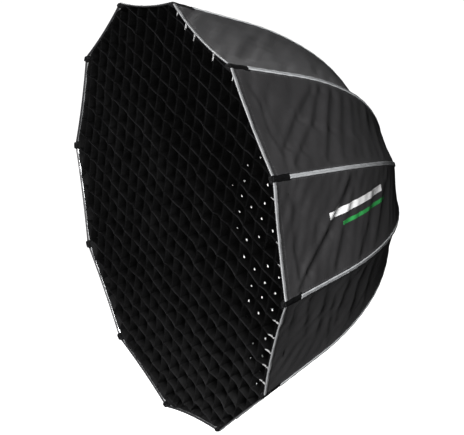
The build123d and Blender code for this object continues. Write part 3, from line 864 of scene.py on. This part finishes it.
def make_pocket(number):
    """Webbing sleeve over a rod's tip: a roof over the seam, a round belly and flat ends."""
    around, stations = 40, 46
    angle = rib_angle(number)
    side = np.array([-math.sin(angle), 0, math.cos(angle)])
    up = outward(RIM_SLOPE, angle)
    ahead = placed(math.sin(RIM_SLOPE), math.cos(RIM_SLOPE), angle)
    rim_radius, rim_reach, _ = seam(0.0)
    tip = placed(rim_radius, rim_reach, angle) - up * ROD_DEPTH
    turn = np.linspace(0, math.tau, around, endpoint=False)
    rings, maps_cloth, maps_edge = [], [], []
    length = POCKET_BACK + POCKET_AHEAD
    for station in np.linspace(0, 1, stations):
        place = -POCKET_BACK + length * station
        front = ease((station - 0.9) / 0.1)
        back = ease((0.05 - station) / 0.05)
        half = POCKET_HALF * (1 - 0.2 * front**2)
        roof = POCKET_ROOF - 3.0 * MM * front - 0.5 * MM * back
        belly = POCKET_BELLY - 2.2 * MM * front - 0.3 * MM * back
        squarish = np.sign(np.cos(turn)) * np.abs(np.cos(turn)) ** 0.55
        x = half * squarish
        rise = np.sign(np.sin(turn)) * np.abs(np.sin(turn)) ** 0.7
        drop = np.abs(x) * math.tan(PITCH / 2)
        top = rise * roof - drop * (rise > 0) - 0.3 * drop * (rise <= 0)
        bottom = rise * belly * (1 - 0.35 * (np.abs(x) / half) ** 2) - 0.55 * drop
        y = np.where(rise > 0, top, bottom)
        y = y + 0.35 * MM * np.sin(place / (5 * MM) + 3 * np.cos(turn) + number)
        x = x * (1 + 0.02 * np.sin(place / (9 * MM) + number))
        rings.append(tip + side * x[:, None] + up * y[:, None] + ahead * place)
        walked = np.concatenate([[0], np.cumsum(np.hypot(np.diff(x), np.diff(y)))])
        maps_cloth.append(pair(walked, place))
        maps_edge.append(pair(half - np.abs(x), min(place + POCKET_BACK, POCKET_AHEAD - place)))
    caps = []
    for sign, ring in ((-1, rings[0]), (1, rings[-1])):
        middle = ring.mean(axis=0)
        for scale, bulge in ((0.86, 0.9 * MM), (0.45, 1.3 * MM), (0.04, 1.4 * MM)):
            caps.append(middle + (ring - middle) * scale + ahead * bulge * sign)
    rings = [*caps[2::-1], *rings, *caps[3:]]
    maps_cloth = [maps_cloth[0]] * 3 + maps_cloth + [maps_cloth[-1]] * 3
    maps_edge = [maps_edge[0]] * 3 + maps_edge + [maps_edge[-1]] * 3
    points = np.stack(rings)
    count = len(rings)
    index = np.arange(count * around).reshape(count, around)
    following = np.roll(index, -1, axis=1)
    quads = np.stack([index[:-1], index[1:], following[1:], following[:-1]], -1).reshape(-1, 4)
    ends = []
    for ring, order in ((index[0], 1), (index[-1], -1)):
        half_ring = around // 2
        for step in range(half_ring - 1):
            a, b = ring[step], ring[step + 1]
            c, d = ring[(around - step - 2) % around], ring[(around - step - 1) % around]
            ends.append([a, b, c, d][::order])
    quads = np.concatenate([quads, np.array(ends)])
    maps = {
        "cloth": np.concatenate(maps_cloth).reshape(-1, 2),
        "edge": np.concatenate(maps_edge).reshape(-1, 2),
    }
    points = points.reshape(-1, 3)
    piece, _ = build(f"pocket_{number:02d}", points, quads, maps, "pocket_webbing", 50)
    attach(piece, RIB_BODIES[number - 1])
    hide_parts(f"rod_pocket_{number:02d}")


# ---- Front: grid and diffuser ----
grid_low, grid_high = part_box("grid")
GRID_FRONT = -grid_low.y
GRID_BACK = -grid_high.y
GRID_DEPTH = GRID_FRONT - GRID_BACK
GRID_CELL = 50 * MM
GRID_TURN = math.radians(-27)
STRIP = 1.0 * MM
DIFFUSER_REACH = -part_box("front_diffuser")[0].y
DIFFUSER_THICK = 0.5 * MM
CORNER_CUT = 44 * MM               # where the pockets are, from the rim's corners


def inside_rim(x, z, reach, gap):
    """Distance of points inside the gores at a reach, less a gap. It is below 0 outside them."""
    behind = (RIM_REACH - reach) / math.cos(RIM_SLOPE)
    corner = RIM_RADIUS - behind * math.sin(RIM_SLOPE)
    flat = corner * math.cos(PITCH / 2)
    turn = np.arctan2(z, x)
    nearest = np.round(turn / PITCH) * PITCH
    radius = np.hypot(x, z)
    forward = radius * np.cos(turn - nearest)
    aside = radius * np.sin(turn - nearest)
    half = flat * math.tan(PITCH / 2)
    sag = SAGS[np.round(turn / PITCH).astype(int) % RIBS]
    dip = sag * 2 * half * (1 - np.clip(aside / half, -1, 1) ** 2)
    side = flat - dip / math.cos(RIM_SLOPE) - forward
    rib = (np.round((turn - FIRST_RIB) / PITCH)) * PITCH + FIRST_RIB
    cut = corner - CORNER_CUT * math.sin(PITCH / 2)
    tip = cut - radius * np.cos(turn - rib)
    return np.minimum(side, tip) - gap


def rim_loop(reach, gap, count):
    """Points round the inside of the gores at a reach, evenly spaced in direction."""
    turn = np.linspace(0, math.tau, count, endpoint=False)
    low, high = np.zeros(count), np.full(count, RIM_RADIUS)
    for _ in range(40):
        radius = (low + high) / 2
        inner = inside_rim(radius * np.cos(turn), radius * np.sin(turn), reach, gap) > 0
        low, high = np.where(inner, radius, low), np.where(inner, high, radius)
    return turn, (low + high) / 2


def wander(x, z, seed, size, length):
    """A smooth shift, about that size and length, that is the same for the same place."""
    draw = np.random.default_rng(seed)
    total = 0
    for _ in range(6):
        turn = draw.uniform(0, math.tau)
        wave = length * draw.uniform(0.6, 1.5)
        phase = draw.uniform(0, math.tau)
        total = total + np.sin((x * math.cos(turn) + z * math.sin(turn)) * math.tau / wave + phase)
    return size * total / math.sqrt(6)


GRID_NODES = 14                    # cells on each side of the middle
grid_draw = np.random.default_rng(7)
node_count = 2 * GRID_NODES + 1
node_front = grid_draw.normal(0, 1, (node_count, node_count, 2))
node_bow = grid_draw.uniform(-1, 1, (2, node_count, node_count))
node_open = grid_draw.uniform(0, 1, (node_count, node_count))


# How the strips stray from a square lattice: seed, size and length.
LONG_STRAY = ((11, 3.5 * MM, 0.34), (12, 1.6 * MM, 0.16))
CROSS_STRAY = (13, 4 * MM, 0.4)
FAN = 0.06                         # how much the long strips spread towards -X


def lattice(i, j):
    """Place of the crossing of long strip j and cross strip i, in the plane of the rim."""
    u, v = i * GRID_CELL, j * GRID_CELL
    v = v + wander(u, v, *LONG_STRAY[0]) + wander(u, v, *LONG_STRAY[1])
    u = u + wander(u, v, *CROSS_STRAY)
    x = u * math.cos(GRID_TURN) - v * math.sin(GRID_TURN)
    z = u * math.sin(GRID_TURN) + v * math.cos(GRID_TURN)
    return x, z + x * FAN * np.clip(-x / RIM_RADIUS, 0, 1) ** 2


def reaches_rim(xs, zs, reach):
    """Where a line of points enters and leaves the inside of the rim, in steps along it."""
    room = inside_rim(xs, zs, reach, 4 * MM)
    inside = np.flatnonzero(room > 0)
    if len(inside) < 3:
        return 0, 0
    first, last = inside[0], inside[-1]
    enters = first - room[first] / (room[first] - room[first - 1])
    leaves = last + room[last] / (room[last] - room[last + 1])
    return enters, leaves


STEPS = (0.0, 0.11, 0.3, 0.5, 0.7, 0.89)
DEPTHS = (0.0, 6 * MM, 17 * MM, 22.5 * MM, 36 * MM, 1.0)
SLOT_ROW = 2                       # between which depths both strips are cut where they cross
SLOTS_FROM = 330 * MM              # the cuts show beyond this X and below this Z
SLOTS_BELOW = 200 * MM
SLOTS_OPEN = 0.75                  # share of the crossings with a cut
BOW = (1.6 * MM, 2.4 * MM)         # of a long and a cross strip, sideways between crossings
LEAN = 1.7 * MM                    # of the front edge at a crossing
LOW_LEAN = 2.0 * MM                # how much more it leans at the bottom,
LOW_SAG = 9 * MM                   # and how far it hangs there
DIP = 1.6 * MM                     # of the front edge between crossings, give or take the next
DIP_SPREAD = 1.2 * MM
FAMILY_SHIFT = 0.1 * MM            # keeps the points of crossing strips apart, so the STL closes

# White tabs at strips' far ends: long or cross strips, between which directions in degrees, the
# draw above which a strip has one, and its length in millimetres at draws of 0 and 1.
TABS = ((0, -44, -19, 0.0, 17, 23), (0, -13, 13, 0.5, 6, 6), (1, 40, 76, 0.45, 0, 14))
TAB_EDGE = 12 * MM
TAB_DEPTHS = np.array([1.0, 0.66, 0, 0, 0, 0])


def end_tab(family, line, xs, zs, along):
    """Above 1 on the white tab at a strip's far end, for its points by depth."""
    degrees = math.degrees(math.atan2(zs[-1], xs[-1]))
    size = np.random.default_rng(300 + line).uniform(0, 1)
    shown = np.zeros(len(along))
    for kind, low, high, bare, short, long in TABS:
        if family == kind and low < degrees < high and size > bare:
            length = (short + (long - short) * size) * MM
            shown = 1 + np.clip((length - (along[-1] - along)) / TAB_EDGE, -1, 0.35)
    return shown[:, None] * TAB_DEPTHS


def grid_strip(family, line):
    """One strip: (points, quads, maps), or None where the line misses the rim."""
    xs, zs, lean_x, lean_z, dips, cells, steps = [], [], [], [], [], [], []
    for cell in range(-GRID_NODES, GRID_NODES):
        here = (cell, line) if family == 0 else (line, cell)
        there = (cell + 1, line) if family == 0 else (line, cell + 1)
        x0, z0 = lattice(*here)
        x1, z1 = lattice(*there)
        at = (here[0] + GRID_NODES, here[1] + GRID_NODES)
        to = (there[0] + GRID_NODES, there[1] + GRID_NODES)
        bow = node_bow[family][at]
        length = math.hypot(x1 - x0, z1 - z0)
        nx, nz = -(z1 - z0) / length, (x1 - x0) / length
        for step in STEPS:
            swell = math.sin(math.pi * step)
            size = bow * swell * BOW[family]
            xs.append(x0 + (x1 - x0) * step + nx * size * 0.35)
            zs.append(z0 + (z1 - z0) * step + nz * size * 0.35)
            lean = (1 - step) * node_front[at] + step * node_front[to]
            lean_x.append(lean[0] * LEAN + nx * size)
            low = np.clip((0.15 - zs[-1]) / 0.7, 0, 1)
            lean_z.append(lean[1] * (LEAN + LOW_LEAN * low) + nz * size - LOW_SAG * low)
            dips.append((DIP + DIP_SPREAD * bow) * swell)
            cells.append(at)
            steps.append(step)
    xs, zs = np.array(xs), np.array(zs)
    front_first, front_last = reaches_rim(xs, zs, GRID_FRONT)
    back_first, back_last = reaches_rim(xs, zs, GRID_BACK)
    if back_last - back_first < 3:
        return None
    keep = np.arange(math.floor(back_first), math.ceil(back_last) + 1)
    depths = np.minimum(np.array(DEPTHS), GRID_DEPTH)
    share = 1 - depths / GRID_DEPTH
    order = np.arange(len(keep))
    ends = np.minimum(ease(order / 3), ease((len(keep) - 1 - order) / 3))
    spots = np.repeat(keep[:, None].astype(float), len(depths), axis=1)
    spots[0] = back_first + (front_first - back_first) * share
    spots[-1] = back_last + (front_last - back_last) * share
    numbers = np.arange(len(xs))
    loose = share[None, :] * ends[:, None]
    px = np.interp(spots, numbers, xs) + np.array(lean_x)[keep][:, None] * loose
    pz = np.interp(spots, numbers, zs) + np.array(lean_z)[keep][:, None] * loose
    px = px + FAMILY_SHIFT * family
    down = depths[None, :] + np.array(dips)[keep][:, None] * loose
    points = np.stack([px, -(GRID_FRONT - down), pz], axis=-1)
    present = np.ones((len(keep) - 1, len(depths) - 1), bool)
    for place, number in enumerate(keep[:-1]):
        after = steps[number] == STEPS[0]
        before = steps[number] == STEPS[-1]
        column, row = cells[number]
        crossing = (column, row) if after else (column + 1 - family, row + family)
        seen = xs[number] > SLOTS_FROM and zs[number] < SLOTS_BELOW
        well_in = seen and 2 < place < len(keep) - 4
        if (after or before) and well_in and node_open[crossing] < SLOTS_OPEN:
            present[place, SLOT_ROW] = False
    along = np.concatenate([[0], np.cumsum(np.hypot(np.diff(xs[keep]), np.diff(zs[keep])))])
    deep = np.broadcast_to(depths, px.shape)
    maps = {
        "cloth": pair(along[:, None], deep),
        "edge": pair(np.minimum(deep, GRID_DEPTH - deep), float(family)),
        "tab": pair(end_tab(family, line, xs[keep], zs[keep], along), 0.0),
    }
    return shell(points, STRIP, maps, present)


def make_grid():
    """Egg-crate of soft strips: long ones, cross ones and a hem round them."""
    parts = []
    for family in (0, 1):
        for line in range(-GRID_NODES, GRID_NODES + 1):
            strip = grid_strip(family, line)
            if strip is not None:
                parts.append(strip)
    count = 360
    depths = np.linspace(0, GRID_DEPTH, 5)
    rings = []
    for depth in depths:
        turn, radius = rim_loop(GRID_FRONT - depth, 3.2 * MM, count)
        radius = radius + 0.6 * MM * np.sin(turn * 60 + depth * 60)
        dip = 0.8 * MM * (1 - depth / GRID_DEPTH) * np.sin(turn * 36)
        rings.append(placed(radius, GRID_FRONT - depth - np.abs(dip), turn))
    points = np.stack(rings, axis=1)
    deep = np.broadcast_to(depths, points.shape[:2])
    maps = {
        "cloth": pair((turn * RIM_RADIUS)[:, None], deep),
        "edge": pair(np.minimum(deep, GRID_DEPTH - deep), 1.0),
        "tab": np.zeros((*deep.shape, 2)),
    }
    parts.append(shell(points, STRIP, maps, wrap=True))
    both, quads, maps = joined(parts)
    piece, used = build("grid_strips", both, quads, maps, "grid_fabric", 60)
    skin(piece, "grid", front_shares(both[used]))
    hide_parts("grid")


def make_diffuser():
    """One panel of white nylon with a sewn hem, slightly swollen and creased."""
    rings, count = 46, 240
    turn, rim = rim_loop(DIFFUSER_REACH, 5 * MM, count)
    shares = np.linspace(0.004, 1, rings) ** 0.8
    radius = rim[:, None] * shares[None, :]
    x, z = radius * np.cos(turn)[:, None], radius * np.sin(turn)[:, None]
    slack = 1 - shares[None, :] ** 2
    swell = 2.2 * MM * slack + wander(x, z, 21, 1.1 * MM, 0.25) * ease(slack * 3)
    fan = 0.5 * MM * np.sin(turn * RIBS * 2)[:, None] * ease((shares[None, :] - 0.7) / 0.3)
    points = placed(radius, DIFFUSER_REACH - 3.5 * MM + swell + fan, turn[:, None])
    to_rim = rim[:, None] - radius
    maps = {"cloth": pair(x, z), "edge": pair(to_rim, (turn * RIM_RADIUS)[:, None])}
    both, quads, maps = shell(points, DIFFUSER_THICK, maps, wrap=True, flip=True)
    inner = np.arange(count) * rings
    half = count // 2
    fill = []
    for step in range(half - 1):
        a, b = inner[step], inner[step + 1]
        c, d = inner[count - step - 2], inner[count - step - 1]
        fill.append([a, b, c, d])
        fill.append([value + count * rings for value in (d, c, b, a)])
    back_side = (quads >= count * rings).any(axis=1) & (quads < count * rings).any(axis=1)
    hole = np.isin(quads % (count * rings), inner).all(axis=1) & back_side
    quads = np.concatenate([quads[~hole], np.array(fill)])
    piece, used = build("diffuser_panel", both, quads, maps, "diffuser_fabric")
    skin(piece, "front_diffuser", front_shares(both[used]))
    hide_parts("front_diffuser")


# ---- Hub ----
COLLAR_REAR = -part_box("rear_collar")[1].y
COLLAR_RADIUS = 77.4 * MM          # where it wraps the hub
COLLAR_INNER = 44 * MM             # how far it goes inwards past the gores' inner edges,
COLLAR_LAP = 10 * MM               # and how far it lies over them
COLLAR_THICK = 0.9 * MM


def make_collar():
    """Cloth collar: gathered round the hub, then a skirt over the gores' inner edges."""
    turn = np.linspace(0, math.tau, 288, endpoint=False)
    radius, reach, _ = seam(np.linspace(GORE_LENGTH + COLLAR_INNER, GORE_LENGTH - COLLAR_LAP, 16))
    rise = 2.0 * MM
    skirt_radius = radius + math.cos(HUB_SLOPE) * rise
    skirt_reach = reach - math.sin(HUB_SLOPE) * rise
    turn_at = float(np.interp(COLLAR_RADIUS, skirt_radius, skirt_reach))
    wrap_reach = np.linspace(COLLAR_REAR, turn_at - 1.2 * MM, 8)
    keep = skirt_radius > COLLAR_RADIUS + 1.2 * MM
    profile_radius = np.concatenate([np.full(8, COLLAR_RADIUS), skirt_radius[keep]])
    profile_reach = np.concatenate([wrap_reach, skirt_reach[keep]])
    out = ease((profile_radius - COLLAR_RADIUS) / (25 * MM))
    gather = 0.45 * MM * np.sin(turn * 84)[:, None] * (1 - out)[None, :]
    panel = 0.8 * MM * (np.cos((turn - FIRST_RIB) * RIBS) - 0.2)[:, None] * out[None, :]
    points = placed(profile_radius + gather, profile_reach - panel * 0.6, turn[:, None])
    walked = np.hypot(np.diff(profile_radius), np.diff(profile_reach))
    along = np.concatenate([[0], np.cumsum(walked)])
    deep = np.broadcast_to(along, points.shape[:2])
    to_edge = np.minimum(deep, along[-1] - deep)
    maps = {"cloth": pair((turn * 90 * MM)[:, None], deep), "edge": pair(to_edge, to_edge)}
    both, quads, maps = shell(points, COLLAR_THICK, maps, wrap=True)
    piece, _ = build("hub_collar", both, quads, maps, "pocket_webbing", 60)
    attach(piece, HUB_BODY)
    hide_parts("rear_collar")


# ---- Plain stripes where the maker's print would be ----
STRIPE_LIFT = 0.3 * MM             # above the gore
STRIPE_THICK = 0.1 * MM


def make_stripe(name, kind, start, end, half):
    """A printed stripe on gore 12 between two (across, from the rim) places in millimetres."""
    long = math.hypot(end[0] - start[0], end[1] - start[1])
    ux, uy = (end[0] - start[0]) / long, (end[1] - start[1]) / long
    along, across = np.linspace(0, long, 70)[:, None], np.linspace(-half, half, 9)
    x = start[0] + ux * along - uy * across
    y = start[1] + uy * along + ux * across
    back = y * MM
    radius, _, slope = seam(back)
    width = 2 * radius * math.sin(PITCH / 2)
    share = x * MM / width + 0.5
    points, _ = gore_surface(12, share, back)
    gore = bpy.data.objects["canopy_gore_12"].data
    tree = BVHTree.FromPolygons(
        [v.co for v in gore.vertices], [list(face.vertices) for face in gore.polygons]
    )
    square = outward(slope, rib_angle(12) + PITCH / 2)
    for place in np.ndindex(share.shape):
        above = Vector(points[place] + square[place] * 0.01)
        hit = tree.ray_cast(above, Vector(-square[place]))[0]
        points[place] = np.array(hit) + square[place] * STRIPE_LIFT
    maps = {"cloth": pair(along, across) * MM}
    inward = (normals(points) * square).sum(axis=-1).mean() < 0
    both, quads, maps = shell(points, STRIPE_THICK, maps, flip=bool(inward))
    piece, used = build(name, both, quads, maps, kind)
    skin(piece, RIB_BODIES[11], gore_shares(12, np.tile(share.ravel(), 2)[used]))


# ---- CAD nodes whose shape stays, with better materials ----
def finish_cad_nodes():
    kinds = {
        "speedring": "ring_metal",
        "bayonet_ring": "bayonet_steel",
        "mount_screws": "screw_steel",
        "hinge_pins": "pin_steel",
        "detent_plate": "spring_steel",
        "detent_rivets": "pin_steel",
    }
    for number in range(1, RIBS + 1):
        kinds[f"rib_arm_{number:02d}"] = "arm_metal"
        kinds[f"rib_rod_{number:02d}"] = "rod_fibreglass"
    for node, kind in kinds.items():
        mesh = frame["nodes"][node].data
        mesh.materials.clear()
        mesh.materials.append(materials[kind])


# ---- Stage and light ----
LIGHT_FROM = (0.66, -0.70, 0.22)
LIGHT_DISTANCE = 4.5
# Each light's name, the direction it comes from, the side of its square and its power in watts.
LIGHTS = (("key", LIGHT_FROM, 1.6, 570), ("top", (-0.6, 0.1, 0.8), 2.0, 190))
WORLD_LIGHT = {"From Min": -0.7, "From Max": 1.0, "To Min": 0.015, "To Max": 0.17}
WORLD_SEEN = 1.03
FLOOR_SIZE = 60
FLOOR_DROP = 1.15                  # below the part


def make_stage():
    """A white floor far below, which lights nothing."""
    n = Nodes("floor")
    cloud = n.noise(n.spot(), 0.6, 3)
    pale = n.mix(cloud, (0.86, 0.86, 0.86), (0.89, 0.89, 0.89))
    n.finish(Base_Color=pale, Roughness=0.9, Emission_Color=(1, 1, 1), Emission_Strength=1.1)
    corners = [(-1, -1), (1, -1), (1, 1), (-1, 1)]
    low = cad_box[0].z - FLOOR_DROP
    points = [(x * FLOOR_SIZE, y * FLOOR_SIZE, low) for x, y in corners]
    mesh = bpy.data.meshes.new("floor")
    mesh.from_pydata(points, [], [(0, 1, 2, 3)])
    mesh.materials.append(n.material)
    floor = bpy.data.objects.new("floor", mesh)
    bpy.context.scene.collection.objects.link(floor)
    floor.visible_diffuse = False
    floor.visible_glossy = False


def make_light(name, direction, size, power):
    """A square light that looks at the middle of the part."""
    data = bpy.data.lights.new(name, "AREA")
    data.shape = "RECTANGLE"
    data.size, data.size_y = size, size
    data.energy = power
    light = bpy.data.objects.new(name, data)
    middle = (cad_box[0] + cad_box[1]) / 2
    light.location = middle + Vector(direction) * LIGHT_DISTANCE
    light.rotation_euler = (middle - light.location).to_track_quat("-Z", "Y").to_euler()
    bpy.context.scene.collection.objects.link(light)


def make_world():
    """White where it is seen; as light, brightest above the front and dim below and behind."""
    world = bpy.data.worlds.new("studio")
    bpy.context.scene.world = world
    world.use_nodes = True
    tree = world.node_tree
    tree.nodes.clear()
    out = tree.nodes.new("ShaderNodeOutputWorld")
    seen = tree.nodes.new("ShaderNodeBackground")
    seen.inputs["Color"].default_value = (1, 1, 1, 1)
    seen.inputs["Strength"].default_value = WORLD_SEEN
    lit = tree.nodes.new("ShaderNodeBackground")
    place = tree.nodes.new("ShaderNodeTexCoord")
    facing = tree.nodes.new("ShaderNodeVectorMath")
    facing.operation = "DOT_PRODUCT"
    facing.inputs[1].default_value = LIGHT_FROM
    level = tree.nodes.new("ShaderNodeMapRange")
    for label, value in WORLD_LIGHT.items():
        level.inputs[label].default_value = value
    tree.links.new(place.outputs["Generated"], facing.inputs[0])
    tree.links.new(facing.outputs["Value"], level.inputs["Value"])
    tree.links.new(level.outputs[0], lit.inputs["Strength"])
    path = tree.nodes.new("ShaderNodeLightPath")
    pick = tree.nodes.new("ShaderNodeMixShader")
    tree.links.new(path.outputs["Is Camera Ray"], pick.inputs[0])
    tree.links.new(lit.outputs[0], pick.inputs[1])
    tree.links.new(seen.outputs[0], pick.inputs[2])
    tree.links.new(pick.outputs[0], out.inputs["Surface"])


make_camera()
for rib in range(1, RIBS + 1):
    make_gore(rib)
    make_seam_tape(rib)
    make_rim_binding(rib)
    make_pocket(rib)
make_grid()
make_diffuser()
make_collar()
make_stripe("print_stripe_pale", "pale_print", (20, 206), (42, 478), 9)
make_stripe("print_stripe_green", "green_print", (-8, 262), (12, 500), 5)
finish_cad_nodes()
make_stage()
make_world()
for light_values in LIGHTS:
    make_light(*light_values)
bpy.context.scene.view_settings.view_transform = "Standard"

bpy.context.view_layer.update()
